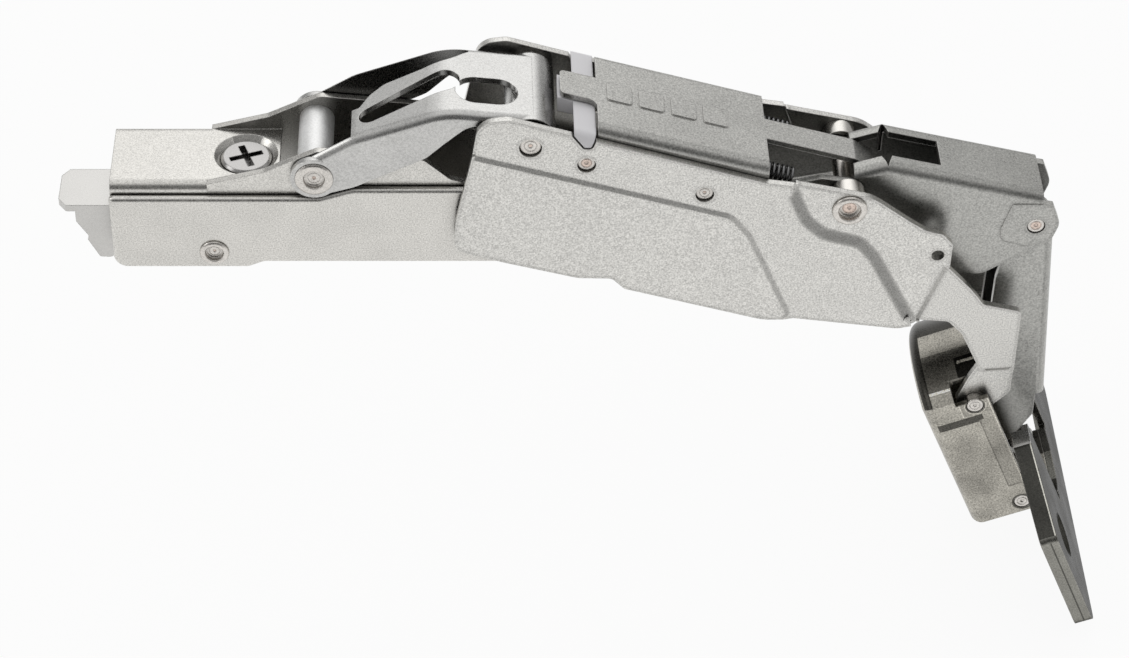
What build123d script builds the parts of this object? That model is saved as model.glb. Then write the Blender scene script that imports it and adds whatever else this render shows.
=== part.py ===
"""Concealed wide-angle cup hinge, shown fully open, in millimetres.

+X points from the hinge arm towards the cup, +Z away from the cabinet side, and Y = 0 is the mid-plane.
The origin lies under the clip rivet, on the face of the arm that seats on the mounting plate.
Every pivot runs along Y. A "half width" is the distance from the mid-plane to a face of a sheet.
"""
from build123d import *
import math
import os

os.makedirs("parts", exist_ok=True)

# ---------------------------------------------------------------- pivots, as (X, Z) in the open pose
CLIP_PIVOT = (0.0, 3.3)
REAR_PIVOT = (15.7, 17.7)
FORK_PIVOT = (48.1, 25.1)
REAR_RIVET = (56.5, 21.9)
FRONT_RIVET = (74.4, 16.2)
SCISSOR_PIVOT = (96.5, 12.8)
LINK_PIVOT = (126.1, 6.1)
CUP_PIVOT = (120.0, -27.4)
# the nose pivot closes a parallelogram with the rear, fork and scissor pivots
NOSE_PIVOT = (REAR_PIVOT[0] + SCISSOR_PIVOT[0] - FORK_PIVOT[0],
              REAR_PIVOT[1] + SCISSOR_PIVOT[1] - FORK_PIVOT[1])

# ---------------------------------------------------------------- sheets, gaps and layers across the width
GAP = 0.3                    # between links that pass each other
CLOSE_GAP = 0.2              # between the fork and the channel it straddles
LINK_SHEET = 1.0
UPPER_SHEET = 1.1
CHANNEL_SHEET = 1.1
HOUSING_SHEET = 1.0
PLATE_SHEET = 1.1
COVER_SHEET = 0.9
CUP_SHEET = 1.0
FLANGE_SHEET = 1.2

LINK_HALF = 4.2                                            # front link, outside
UPPER_HALF = LINK_HALF + GAP + UPPER_SHEET                 # upper front channel, outside
CHANNEL_INNER = 6.2                                        # adjusting channel, inside
CHANNEL_HALF = CHANNEL_INNER + CHANNEL_SHEET
HOUSING_INNER = CHANNEL_HALF + CLOSE_GAP
HOUSING_HALF = HOUSING_INNER + HOUSING_SHEET               # housing and rear fork share this layer
LUG_HALF = CHANNEL_HALF + GAP + PLATE_SHEET                # side plate at the cup pivot
NECK_HALF = LUG_HALF + 0.5                                 # side plate where it enters the cup
PIVOT_HALF = NECK_HALF + 0.6                               # side plate round the scissor pivot
BAND_HALF = PIVOT_HALF + 0.6                               # side plate along its riveted edge
PANEL_HALF = BAND_HALF + 0.3                               # side plate, pressed-out panel
COVER_HALF = BAND_HALF - PLATE_SHEET - 0.1                 # cover channel, outside
CUP_INNER_HALF = NECK_HALF + GAP                           # flat walls of the cup
CUP_HALF = CUP_INNER_HALF + CUP_SHEET

PIN_RADIUS = 1.7
RIVET_RADIUS = 1.4
PIN_FIT = 0.05                                             # radial running fit
HEAD_RADIUS = 1.8
HEAD_HEIGHT = 0.25
BIG_HEAD_RADIUS = 3.0
BIG_HEAD_HEIGHT = 0.6


# ---------------------------------------------------------------- shared building steps
def at(pivot, along=0.0, up=0.0):
    """A point placed from a pivot, in the side view."""
    return (pivot[0] + along, pivot[1] + up)


def outline(points, radius=0.0):
    """Closed outline in the side view, with one corner radius or a radius for each corner."""
    return make_face(FilletPolyline(*points, radius=radius, close=True))


def slab(face, inner, outer):
    """Sheet with the given side-view face, between two distances from the mid-plane, on the near side."""
    return extrude(Plane.XZ.offset(inner) * face, amount=outer - inner)


def both_sides(solid):
    """The sheet and its mirror image on the far side."""
    return solid + mirror(solid, about=Plane.XZ)


def across(pivot, radius, inner, outer):
    """Round bar along Y on the near side, between two distances from the mid-plane."""
    return extrude(Plane.XZ.offset(inner) * Pos(*pivot) * Circle(radius), amount=outer - inner)


def bar(pivot, radius, half):
    """Round bar along Y through the whole width."""
    return across(pivot, radius, -half, half)


def rivet(pivot, shank, half, head=HEAD_RADIUS, height=HEAD_HEIGHT, recess=0.55, sunk=0.4):
    """Cross rivet: a shank with two low domed heads, recessed, outside the given half width."""
    body = bar(pivot, shank, half + height)
    for side in (-1, 1):
        plane = Plane.XZ.offset(side * half)
        disc = extrude(plane * Pos(*pivot) * Circle(head), amount=side * height)
        body += chamfer(disc.faces().sort_by(Axis.Y)[0 if side > 0 else -1].edges(), height * 0.6)
        body -= extrude(Plane.XZ.offset(side * (half + height)) * Pos(*pivot) * Circle(head * recess),
                        amount=-side * height * sunk)
    return body


def side_line(points, radius=0.0):
    """Open line in the side view, with one corner radius or one for each inner corner."""
    return Plane.XZ * (FilletPolyline(*points, radius=radius) if radius else Polyline(*points))


def bend(solid, path, half, radius, corner=0.0):
    """Rounds the two long bends of a folded channel, along a side-view line with rounded corners."""
    line = side_line(path, corner)

    def folded(edge):
        middle = edge @ 0.5
        on_line = line.distance_to(Vector(middle.X, 0, middle.Z)) < 0.05
        return abs(abs(middle.Y) - half) < 0.01 and on_line
    return fillet(solid.edges().filter_by(folded), radius)


def ramp(upper, lower, outer, drop, width):
    """Near-side cutter that slopes a sheet down to the next level, where their outlines meet."""
    shared = upper.edges().filter_by(lambda edge: lower.face().is_inside(edge @ 0.5))
    crease = Plane.XZ.offset(outer) * Wire(shared)
    along = crease % 0
    away = Vector(-along.Z, 0, along.X)
    probe = crease @ 0 + away * 0.1
    if upper.face().is_inside(Vector(probe.X, probe.Z, 0)):
        away = -away
    section = Plane(origin=crease @ 0, x_dir=away, z_dir=along)
    down = drop if section.y_dir.Y > 0 else -drop
    wedge = make_face(section * Polyline((-width, 0), (0, down), (0.5, down), (0.5, 0), close=True))
    return sweep(wedge, path=crease)


def folded_channel(side, path, half, sheet, drop, radius):
    """Channel folded from sheet: side-view outline, web path, half width and shift to the inner profile."""
    solid = bend(slab(side, -half, half), path, half, radius)
    inner_path = [at(point, *drop) for point in path]
    core = slab(Pos(*drop) * side, -(half - sheet), half - sheet)
    return solid - bend(core, inner_path, half - sheet, max(radius - sheet, 0.2))


def folded_web(path, half, sheet, inward, radius):
    """Web of a folded channel with the root of both flanges; inward is a unit step towards the open side."""
    depth = radius + sheet
    under = [at(point, depth * inward[0], depth * inward[1]) for point in reversed(path)]
    drop = (sheet * inward[0], sheet * inward[1])
    return folded_channel(outline(path + under), path, half, sheet, drop, radius)


def flare(plane, centre, top_radius, bottom_radius, depth):
    """Conical recess cut down from a plane."""
    spot = Pos(*centre)
    return loft([plane * spot * Circle(top_radius), plane.offset(-depth) * spot * Circle(bottom_radius)])


def save(name, solid):
    """Writes one sub-part as a STEP file of its own solids."""
    solids = solid.solids()
    shape = solids[0] if len(solids) == 1 else Compound(children=list(solids))
    export_step(shape, f"parts/{name}.step")


# ---------------------------------------------------------------- arm housing
HOUSING_REAR = -15.6
HOUSING_TOP = 13.8
HOUSING_FRONT_TOP = 15.5
HOUSING_FRONT = 50.0
SEAT_END = 5.1               # the seating edge ends here and the underside steps up
STEP_UP = 1.05
FLOOR_START = 12.0


def arm_housing():
    side = outline([
        (HOUSING_REAR, 0), (SEAT_END, 0), (SEAT_END + 2.5, STEP_UP), (HOUSING_FRONT - 6.5, STEP_UP),
        (HOUSING_FRONT, STEP_UP + 4.5), (HOUSING_FRONT, HOUSING_FRONT_TOP),
        at(REAR_PIVOT, 5.7, HOUSING_FRONT_TOP - REAR_PIVOT[1]),
        at(REAR_PIVOT, 0.6, HOUSING_TOP - REAR_PIVOT[1]), (HOUSING_REAR, HOUSING_TOP)],
        [2.2, 1.2, 1.2, 1.5, 1.5, 1.5, 1.5, 1.5, 0.8])
    floor_path = [(FLOOR_START, STEP_UP), (HOUSING_FRONT - 6.5, STEP_UP)]
    floor = Pos((FLOOR_START + HOUSING_FRONT - 6.5) / 2, 0, STEP_UP + HOUSING_SHEET / 2) * Box(
        HOUSING_FRONT - 6.5 - FLOOR_START, 2 * HOUSING_INNER + 0.2, HOUSING_SHEET)
    walls = both_sides(slab(side, HOUSING_INNER, HOUSING_HALF))
    body = bend(walls + floor, floor_path, HOUSING_HALF, HOUSING_SHEET * 0.8)
    return body - bar(CLIP_PIVOT, PIN_RADIUS, HOUSING_HALF + 1)


# ---------------------------------------------------------------- adjusting channel
CHANNEL_REAR = -15.4
CHANNEL_TOP = 15.7
CHANNEL_BOTTOM = 2.4
CHANNEL_BEND = 1.6
WEB_END = 10.2               # the top web stops short of the rear pivot sleeve
EAR_START = -0.6
EYE_RADIUS = 4.3             # material round the rear pivot
NOSE_RADIUS = 3.5
SCREW_X = 5.0
SCREW_HEAD_RADIUS = 3.9
SCREW_SHANK_RADIUS = 2.6
SCREW_COLLAR_HEIGHT = 3.0
SCREW_RECESS = 0.9           # depth of the dished seat round the screw
SCREW_LENGTH = 8.8


def adjusting_channel():
    rear_part = make_face(Polyline(
        (CHANNEL_REAR, CHANNEL_BOTTOM), (CHANNEL_REAR, CHANNEL_TOP), (EAR_START, CHANNEL_TOP),
        (EAR_START, CHANNEL_BOTTOM), close=True))
    web_path = [(CHANNEL_REAR, CHANNEL_TOP), (EAR_START, CHANNEL_TOP)]
    rear = folded_channel(rear_part, web_path, CHANNEL_HALF, CHANNEL_SHEET, (0, -CHANNEL_SHEET), CHANNEL_BEND)
    ears = outline([
        (EAR_START, CHANNEL_BOTTOM), (EAR_START, CHANNEL_TOP),
        at(REAR_PIVOT, -7.6, 0.3), at(REAR_PIVOT, -2.8, EYE_RADIUS - 1.6), at(REAR_PIVOT, 0.6, EYE_RADIUS),
        at(REAR_PIVOT, 16.4, 2.7), at(REAR_PIVOT, 20.5, -1.1),
        at(NOSE_PIVOT, -4.0, NOSE_RADIUS + 1.2), at(NOSE_PIVOT, NOSE_RADIUS, NOSE_RADIUS),
        at(NOSE_PIVOT, NOSE_RADIUS, -NOSE_RADIUS), at(NOSE_PIVOT, -8.0, -NOSE_RADIUS),
        (HOUSING_FRONT - 6.5, CHANNEL_BOTTOM + 0.2)],
        [0, 0, 2.0, 1.0, 2.0, 2.0, 2.0, 2.0, 3.2, 3.2, 4.0, 4.0])
    web = Pos((EAR_START + WEB_END) / 2, 0, CHANNEL_TOP - CHANNEL_SHEET / 2) * Box(
        WEB_END - EAR_START, 2 * CHANNEL_INNER, CHANNEL_SHEET)
    seat = Plane.XY.offset(CHANNEL_TOP) * Pos(SCREW_X, 0)
    dish_radius = SCREW_HEAD_RADIUS + 1.0
    collar = extrude(seat * Circle(dish_radius), amount=-(CHANNEL_SHEET + SCREW_COLLAR_HEIGHT))
    body = rear + both_sides(slab(ears, CHANNEL_INNER, CHANNEL_HALF)) + web + collar
    seat_radius = SCREW_HEAD_RADIUS + PIN_FIT
    dish = flare(Plane.XY.offset(CHANNEL_TOP), (SCREW_X, 0), dish_radius, seat_radius, SCREW_RECESS)
    head_room = extrude(seat * Circle(SCREW_HEAD_RADIUS + PIN_FIT), amount=-(CHANNEL_SHEET + 1.0))
    bore = extrude(seat * Circle(SCREW_SHANK_RADIUS + PIN_FIT), amount=-20)
    body -= dish + head_room + bore
    body -= bar(REAR_PIVOT, PIN_RADIUS, CHANNEL_HALF + 1)
    body -= bar(NOSE_PIVOT, RIVET_RADIUS, CHANNEL_HALF + 1)
    return body - bar(CLIP_PIVOT, PIN_RADIUS + 1.5, CHANNEL_HALF + 1)


def side_adjust_screw():
    top = CHANNEL_TOP - 0.3
    start = Plane.XY.offset(top) * Pos(SCREW_X, 0)
    under_head = CHANNEL_TOP - CHANNEL_SHEET - 1.0
    body = extrude(start * Circle(SCREW_HEAD_RADIUS), amount=under_head - top)
    body = chamfer(body.faces().sort_by(Axis.Z)[-1].edges(), 0.4)
    body += extrude(start * Circle(SCREW_SHANK_RADIUS), amount=-SCREW_LENGTH)
    for turn in (0, 90):
        body -= extrude(start * Rot(0, 0, turn + 20) * Rectangle(5.2, 1.0), amount=-1.6)
    return body


# ---------------------------------------------------------------- rear fork link
FORK_SHEET = HOUSING_SHEET
FORK_LOBE = 3.6
FORK_TOP = 3.8               # radius of the web where it curls round the fork pivot
FORK_WEB_START = 5.7         # from the rear pivot to the web's rear edge
FORK_CROWN = [8.0, 12.0]     # how softly the web turns on its way up
FORK_BEND = 1.6
SLOT_RADIUS = 3.1
FORK_EYE_HALF = HOUSING_HALF - GAP
SLEEVE_RADIUS = 2.7


def rear_fork_link():
    top = [at(REAR_PIVOT, -2.3, 2.5), at(REAR_PIVOT, 5.7, 7.5), at(FORK_PIVOT, -12.7, 5.2),
           at(FORK_PIVOT, 0.4, FORK_TOP)]
    tip = top[-1]
    below = [(tip[0], tip[1] - 1.2), (FORK_PIVOT[0] - 9.2, tip[1] - 1.2), at(FORK_PIVOT, -12.9, -0.8),
             at(FORK_PIVOT, -15.5, -3.4), at(REAR_PIVOT, 6.0, -1.6), at(REAR_PIVOT, 1.4, -3.0)]
    shape = outline(top + below, [0, *FORK_CROWN, 0, 0, 4.0, 2.0, 4.0, 8.0, 0])
    side = shape + Pos(*REAR_PIVOT) * Circle(FORK_LOBE)
    solid = bend(slab(side, -HOUSING_HALF, HOUSING_HALF), top, HOUSING_HALF, FORK_BEND, FORK_CROWN)
    under = [at(point, 0, -FORK_SHEET) for point in top]
    core = slab(Pos(0, -FORK_SHEET) * shape, -HOUSING_INNER, HOUSING_INNER)
    core = bend(core, under, HOUSING_INNER, FORK_BEND - FORK_SHEET, FORK_CROWN)
    rear = Pos(REAR_PIVOT[0] + FORK_WEB_START - 15, 0, REAR_PIVOT[1]) * Box(30, 2 * HOUSING_INNER, 40)
    solid -= core + rear
    solid += bar(FORK_PIVOT, FORK_TOP, FORK_EYE_HALF)
    diagonal = make_hull((Pos(FORK_PIVOT[0] - 13.0, -0.1) * Circle(2.5)).edges()
                         + (Pos(FORK_PIVOT[0] - 23.8, -3.7) * Circle(1.8)).edges())
    access = Pos(FORK_PIVOT[0] - 6.5, -2.3) * SlotOverall(9.4, 2 * SLOT_RADIUS)
    corner = make_face(FilletPolyline(
        (FORK_PIVOT[0] - 8.5, HOUSING_INNER), (FORK_PIVOT[0] - 11.6, 5.3), (FORK_PIVOT[0] - 16.1, 3.9),
        (FORK_PIVOT[0] - 21.9, 2.8), (FORK_PIVOT[0] - 24.1, 1.1), (FORK_PIVOT[0] - 25.6, -1.3),
        (REAR_PIVOT[0], -1.9), (REAR_PIVOT[0], HOUSING_INNER),
        radius=[0.3, 6.0, 8.0, 2.5, 2.5, 0.6, 0.3, 0.3], close=True))
    solid -= extrude(Plane.XY.offset(REAR_PIVOT[1]) * (diagonal + corner), amount=20)
    solid -= extrude(Plane.XY.offset(FORK_PIVOT[1] + FORK_TOP - FORK_SHEET) * access, amount=20)
    solid -= bar(FORK_PIVOT, FORK_TOP - FORK_SHEET, HOUSING_HALF + 1)
    return solid - bar(REAR_PIVOT, PIN_RADIUS + PIN_FIT, HOUSING_HALF + 1)


# ---------------------------------------------------------------- side plates
PLATE_REAR = 37.0
CREASE_WIDTH = 0.8           # slope between the panel and the riveted band
STEP_WIDTH = 2.1             # slope between the band and the scissor pivot
NECK_WIDTH = 0.9             # slopes of the neck, towards the cup


def side_plate():
    """Near side plate: one stamping that steps inwards three times on its way to the cup."""
    corner = at(SCISSOR_PIVOT, 16.4, -7.0)
    root = at(SCISSOR_PIVOT, 12.8, -22.8)
    panel = outline([
        at(FORK_PIVOT, -8.6, -1.2), (PLATE_REAR, FORK_PIVOT[1] - 14.0),
        (PLATE_REAR - 0.3, FORK_PIVOT[1] - 19.6), (PLATE_REAR + 7.5, 3.0), (PLATE_REAR + 18.8, -0.1),
        (PLATE_REAR + 24.0, -0.2), (PLATE_REAR + 26.0, -2.3),
        at(SCISSOR_PIVOT, -11.7, -21.5), at(SCISSOR_PIVOT, -7.0, -21.4),
        at(SCISSOR_PIVOT, -14.6, -4.2), at(SCISSOR_PIVOT, -17.6, -0.4)],
        [0.4, 3.0, 2.4, 4.0, 4.0, 1.5, 1.5, 8.0, 1.2, 3.0, 3.0])
    band = outline([
        at(FORK_PIVOT, -8.6, -1.2), at(FORK_PIVOT, -7.8, 4.6), at(FORK_PIVOT, -3.4, 5.2),
        at(SCISSOR_PIVOT, -12.9, 5.6), at(SCISSOR_PIVOT, -8.2, 4.9),
        at(SCISSOR_PIVOT, -5.6, -1.2), at(SCISSOR_PIVOT, -3.1, -3.6), at(SCISSOR_PIVOT, 2.7, -5.3),
        at(SCISSOR_PIVOT, 5.4, -8.6), root, at(SCISSOR_PIVOT, 9.4, -23.6), at(SCISSOR_PIVOT, -7.0, -21.4),
        at(SCISSOR_PIVOT, -9.0, -21.8), at(SCISSOR_PIVOT, -17.6, -3.0), at(FRONT_RIVET, 0.0, -4.0)],
        [0.3, 3.2, 3.0, 3.0, 1.0, 3.0, 3.0, 3.0, 3.0, 1.0, 3.0, 1.0, 0.5, 4.0, 4.0])
    band -= offset(slider_profile(), amount=GAP)
    pivot_zone = outline([
        at(SCISSOR_PIVOT, -8.6, 5.0), at(SCISSOR_PIVOT, -7.6, 4.7), at(SCISSOR_PIVOT, 3.4, 2.2),
        at(SCISSOR_PIVOT, 9.4, -2.4), at(SCISSOR_PIVOT, 12.0, -4.2), at(SCISSOR_PIVOT, 14.8, -5.0), corner,
        at(SCISSOR_PIVOT, 16.4, -11.4), root, at(SCISSOR_PIVOT, 12.3, -22.7), at(SCISSOR_PIVOT, 4.7, -8.6),
        at(SCISSOR_PIVOT, 2.3, -5.7), at(SCISSOR_PIVOT, -3.6, -4.0), at(SCISSOR_PIVOT, -6.2, -1.6)],
        [0.2, 0.3, 6.0, 4.0, 2.0, 1.5, 1.0, 2.0, 0.3, 0.2, 3.0, 2.6, 3.0, 3.0])
    neck = outline([
        at(SCISSOR_PIVOT, 15.0, -11.0), at(SCISSOR_PIVOT, 16.6, -12.4), at(CUP_PIVOT, -3.4, 23.9),
        at(CUP_PIVOT, -2.1, 22.2), at(CUP_PIVOT, -0.9, 20.5), at(CUP_PIVOT, 5.2, 19.0),
        at(CUP_PIVOT, 5.5, 6.4), at(CUP_PIVOT, 0.4, 6.0), at(CUP_PIVOT, -3.6, 14.4),
        at(CUP_PIVOT, -6.0, 17.0), root, at(SCISSOR_PIVOT, 12.0, -20.4)],
        [0.3, 1.0, 0.8, 0.8, 1.0, 1.0, 0.3, 0.3, 3.0, 1.2, 0.4, 0.3])
    lug = outline([
        at(CUP_PIVOT, 5.5, 8.0), at(CUP_PIVOT, 5.6, 1.4), at(CUP_PIVOT, 2.2, -2.3), at(CUP_PIVOT, -1.6, -3.2),
        at(CUP_PIVOT, -2.9, -0.2), at(CUP_PIVOT, -1.4, 4.4), at(CUP_PIVOT, 0.2, 8.0)],
        [0.3, 2.2, 2.4, 1.6, 1.6, 2.0, 0.3])
    zones = [(panel, PANEL_HALF, CREASE_WIDTH), (band, BAND_HALF, STEP_WIDTH),
             (pivot_zone, PIVOT_HALF, NECK_WIDTH), (neck, NECK_HALF, NECK_WIDTH), (lug, LUG_HALF, 0)]
    body = Part()
    for number, (face, half, width) in enumerate(zones):
        sheet = slab(face, half - PLATE_SHEET, half)
        if width:
            beyond, lower, _ = zones[number + 1]
            sheet -= ramp(face, beyond, half, half - lower, width)
        body += sheet
    for pivot, radius in ((FORK_PIVOT, PIN_RADIUS), (REAR_RIVET, RIVET_RADIUS), (FRONT_RIVET, RIVET_RADIUS),
                          (SCISSOR_PIVOT, PIN_RADIUS), (CUP_PIVOT, RIVET_RADIUS + PIN_FIT)):
        body -= bar(pivot, radius, PANEL_HALF + 1)
    return body - bar(at(SCISSOR_PIVOT, 14.3, -9.1), 1.0, PANEL_HALF + 1)


# ---------------------------------------------------------------- cover channel
COVER_START = REAR_RIVET[0] + 1.6
COVER_END = FRONT_RIVET[0] + 9.6
COVER_RISE = 6.3             # above the rear rivet at the cover's rear edge
COVER_SLOPE = -0.29
COVER_BEND = 1.7
STRIP_HALF = 2.4
STRIP_END = 16.8             # beyond the cover's front edge
TONGUE_HALF = 2.8
TONGUE_LENGTH = 6.0
TONGUE_ROOT = 1.3            # corner between the tongue and the cover's rear edge
PAD_LENGTH = 4.0             # plain raised bars in a row along the cover
PAD_WIDTH = 4.2
PAD_HEIGHT = 0.2
PAD_COUNT = 4
PAD_FIRST = 3.6              # middle of the first one, from the cover's rear edge
PAD_PITCH = 5.1


def cover_top(x):
    """Height of the cover's top face."""
    return REAR_RIVET[1] + COVER_RISE + COVER_SLOPE * (x - COVER_START)


def cover_channel():
    """Riveted between the side plates: strip in front, tongue over the slider, plain bars on top."""
    path = [(COVER_START, cover_top(COVER_START)), (COVER_END, cover_top(COVER_END))]
    skirt = [(COVER_END, cover_top(COVER_END) - 8.4), at(FRONT_RIVET, 3.0, -2.8), at(FRONT_RIVET, -3.0, -2.4),
             at(REAR_RIVET, 3.5, -2.6), (COVER_START, REAR_RIVET[1] - 2.4)]
    body = folded_channel(outline(path + skirt), path, COVER_HALF, COVER_SHEET, (0, -COVER_SHEET), COVER_BEND)
    tab = outline([at(REAR_RIVET, -2.6, 1.6), at(REAR_RIVET, 2.0, 2.6), at(REAR_RIVET, 2.0, -2.4),
                   at(REAR_RIVET, -2.6, -1.6)], 0.6)
    body += both_sides(slab(tab, COVER_HALF - COVER_SHEET, COVER_HALF))
    front, end = COVER_END - 0.5, COVER_END + STRIP_END
    strip = outline([
        (front, cover_top(front) - COVER_SHEET), (end - 3.0, cover_top(end - 3.0) - COVER_SHEET),
        (end, cover_top(end) - COVER_SHEET - 1.0), (end, cover_top(end) - 1.0),
        (end - 3.0, cover_top(end - 3.0)), (front, cover_top(front))])
    body += slab(strip, -STRIP_HALF, STRIP_HALF)
    rear, tip = COVER_START + 0.5, COVER_START + 0.5 - TONGUE_LENGTH
    tongue = outline([(rear, cover_top(rear)), (tip, cover_top(tip)),
                      (tip, cover_top(tip) - COVER_SHEET), (rear, cover_top(rear) - COVER_SHEET)])
    tongue = slab(tongue, -TONGUE_HALF, TONGUE_HALF)
    body += fillet(tongue.edges().filter_by(Axis.Z, tolerance=20).group_by(Axis.X)[0], 0.8)
    root = body.edges().filter_by(lambda edge: edge.distance_to(
        Vertex(COVER_START, -TONGUE_HALF, cover_top(COVER_START) - COVER_SHEET / 2)) < 0.05)
    body = fillet(root, TONGUE_ROOT)
    surface = Plane(origin=(COVER_START, 0, cover_top(COVER_START)), x_dir=(1, 0, COVER_SLOPE),
                    z_dir=(-COVER_SLOPE, 0, 1))
    for number in range(PAD_COUNT):
        pad = Pos(PAD_FIRST + number * PAD_PITCH, 0) * Rectangle(PAD_LENGTH, PAD_WIDTH)
        body += extrude(surface * fillet(pad.vertices(), 0.6), amount=PAD_HEIGHT)
    for pivot in (REAR_RIVET, FRONT_RIVET):
        body -= bar(pivot, RIVET_RADIUS, PANEL_HALF)
    return body


# ---------------------------------------------------------------- damper, its slider and the closing springs
SLIDER_START = REAR_RIVET[0] - 2.0
SLIDER_WIDTH = 3.3
SLIDER_KEY = 3.3             # foot of the slider, above the rear rivet
SLIDER_SHOULDER = 5.5
SLIDER_HALF = BAND_HALF      # flush with the side plates
SLIDER_ROUND = 1.2
DAMPER_RADIUS = 2.4
ROD_RADIUS = 0.8
ROD_REACH = 2.4              # rod standing out of the cylinder, towards the slider
SPRING_WIRE = 0.3
SPRING_RADIUS = 1.3
SPRING_TURNS = 7
SPRING_SPREAD = 5.6
SPRING_DROP = 3.9            # below the cover's top face


def damper_axis():
    """Plane whose normal runs along the damper, forwards and parallel to the cover."""
    start_x = COVER_START + 2.2
    height = cover_top(start_x) - COVER_SHEET - 0.15 - DAMPER_RADIUS
    return Plane(origin=(start_x, 0, height), x_dir=(0, 1, 0), z_dir=(1, 0, COVER_SLOPE))


def damper_cylinder():
    body = extrude(damper_axis() * Circle(DAMPER_RADIUS), amount=11.5)
    body = fillet(body.edges(), 0.4)
    return body - extrude(damper_axis() * Circle(ROD_RADIUS + PIN_FIT), amount=8)


def damper_rod():
    return extrude(damper_axis().offset(-ROD_REACH) * Circle(ROD_RADIUS), amount=ROD_REACH + 6.0)


def slider_top(x):
    """Height of the slider's top face, close under the cover's tongue."""
    return cover_top(x) - COVER_SHEET - CLOSE_GAP


def slider_profile():
    """Side view of the slider: slanted top, and a pointed foot that keys into the plates' notches."""
    end = SLIDER_START + SLIDER_WIDTH
    return outline([
        (SLIDER_START, slider_top(SLIDER_START)), (end, slider_top(end)),
        at(REAR_RIVET, 0.6, SLIDER_KEY), at(REAR_RIVET, -0.4, SLIDER_KEY),
        (SLIDER_START, REAR_RIVET[1] + SLIDER_SHOULDER)],
        [0, 0, 0.4, 0.4, 0.3])


def damper_slider():
    """Plastic switch that slides sideways through the plates' notches, under the cover's tongue."""
    body = slab(slider_profile(), -SLIDER_HALF, SLIDER_HALF)
    ends = body.edges().filter_by(Axis.X, tolerance=20).group_by(Axis.Z)[-1]
    body = fillet(ends, SLIDER_ROUND)
    start, end = SLIDER_START - 2.3, SLIDER_START + 0.5
    block = outline([(start, slider_top(start)), (end, slider_top(end)), (end, slider_top(end) - 2.6),
                     (start, slider_top(start) - 2.6)])
    return body + slab(block, -TONGUE_HALF, TONGUE_HALF)


def coil(centre, radius, wire, pitch, turns, direction):
    """Wire wound round an axis, from the middle of its first turn."""
    path = Helix(pitch=pitch, height=pitch * turns, radius=radius, center=centre, direction=direction)
    return sweep(Plane(origin=path @ 0, z_dir=path % 0) * Circle(wire), path=path)


def closing_springs():
    start = FRONT_RIVET[0] + RIVET_RADIUS + GAP + SPRING_WIRE
    length = 11.0
    centre = (start, -SPRING_SPREAD, cover_top(start) - SPRING_DROP)
    near = coil(centre, SPRING_RADIUS, SPRING_WIRE, length / SPRING_TURNS, SPRING_TURNS, (1, 0, COVER_SLOPE))
    return both_sides(near)


# ---------------------------------------------------------------- upper front channel
SLOT_HALF = STRIP_HALF + 0.5
UPPER_BEND = 1.6
UPPER_LOBE = 3.6
NOTCH_HALF = 0.8             # half width of the notches that free the rear tabs
PATCH_HEIGHT = 0.15          # pressed patch round the link pivot
ARM_HALF_HEIGHT = 3.2


def upper_front_channel():
    """Straddles the front link: two tabs behind, notched bends, and a pressed patch round the link pivot."""
    top = [at(SCISSOR_PIVOT, 0.9, 3.5), at(SCISSOR_PIVOT, 5.9, 5.15), at(LINK_PIVOT, 0.6, 5.9)]
    side = outline([
        at(top[0], 0, -UPPER_BEND), at(top[1], 0, -UPPER_BEND), at(top[2], 0, -UPPER_BEND),
        at(LINK_PIVOT, 2.2, 4.0), at(LINK_PIVOT, UPPER_LOBE, 0.6), at(LINK_PIVOT, 2.6, -2.9),
        at(SCISSOR_PIVOT, 21.8, -16.8), at(SCISSOR_PIVOT, 14.0, -14.0), at(SCISSOR_PIVOT, 5.0, -6.0),
        at(SCISSOR_PIVOT, 2.0, -3.6), at(NOSE_PIVOT, 0.8, -ARM_HALF_HEIGHT),
        at(NOSE_PIVOT, -ARM_HALF_HEIGHT, -2.6), at(NOSE_PIVOT, -ARM_HALF_HEIGHT, 2.0),
        at(NOSE_PIVOT, -0.6, ARM_HALF_HEIGHT),
        at(SCISSOR_PIVOT, -4.0, ARM_HALF_HEIGHT - 0.6)],
        [0, 0, 0, 0.3, 3.0, 2.4, 3.0, 3.0, 3.0, 2.0, 2.0, 2.4, 2.4, 2.0, 0.6])
    inner = UPPER_HALF - UPPER_SHEET
    body = both_sides(slab(side, inner, UPPER_HALF))
    body += folded_web(top, UPPER_HALF, UPPER_SHEET, (0, -1), UPPER_BEND)
    body -= Pos(SCISSOR_PIVOT[0] + 7.3, 0, SCISSOR_PIVOT[1] + 4) * Box(14.0, 2 * SLOT_HALF, 8)
    notch = Plane.XY * make_face(Polyline(
        (top[1][0] - NOTCH_HALF, -SLOT_HALF), (top[1][0] + NOTCH_HALF, -SLOT_HALF),
        (top[1][0], -UPPER_HALF + 0.4), close=True))
    body -= both_sides(extrude(Plane.XY.offset(SCISSOR_PIVOT[1]) * notch, amount=10))
    patch = outline([at(LINK_PIVOT, -4.1, 4.3), at(LINK_PIVOT, -5.4, -0.6), at(LINK_PIVOT, -5.2, -2.7),
                     at(LINK_PIVOT, -1.3, -4.0), at(LINK_PIVOT, 5.0, -2.0), at(LINK_PIVOT, 4.0, 4.3)],
                    [0.4, 2.0, 1.5, 1.5, 0.5, 0.5]) & side
    body += both_sides(slab(patch, UPPER_HALF - 0.2, UPPER_HALF + PATCH_HEIGHT))
    for pivot, radius in ((SCISSOR_PIVOT, PIN_RADIUS + PIN_FIT), (NOSE_PIVOT, RIVET_RADIUS + 2 * PIN_FIT),
                          (LINK_PIVOT, RIVET_RADIUS)):
        body -= bar(pivot, radius, UPPER_HALF + 1)
    return body


# ---------------------------------------------------------------- front link
LINK_BEND = 1.5


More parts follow.
